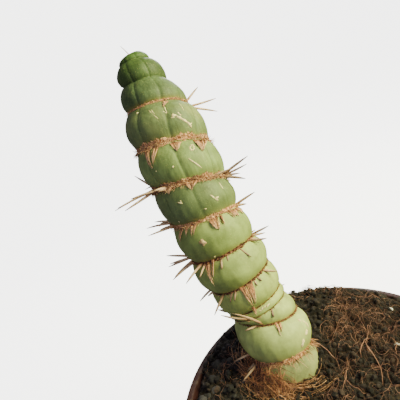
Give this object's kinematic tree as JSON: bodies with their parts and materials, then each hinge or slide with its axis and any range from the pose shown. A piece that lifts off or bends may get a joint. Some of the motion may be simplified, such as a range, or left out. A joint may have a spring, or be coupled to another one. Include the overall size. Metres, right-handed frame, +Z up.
{
  "type": "potted spiral cactus",
  "caption": "Upright cactus coiled like a turban shell, with spiny wool in its spiral groove, in a round tapered plastic pot of gritty soil.",
  "frame": {"origin": "centre of the flat underside of the pot, on the surface it stands on", "axes": "+Z up; the plant stands behind the pot's centre, towards +Y, and leans that way; +X is to the right in the front view"},
  "size_m": [0.19, 0.2212, 0.3654],
  "materials": {
    "pot_plastic": "satin",
    "soil": "matte",
    "cactus_skin": "satin",
    "wool_and_spines": "matte"
  },
  "bodies": {
    "root": {"pot": "pot_plastic", "soil": "soil", "stem": "cactus_skin", "wool_and_spines": "wool_and_spines"}
  },
  "joints": []
}
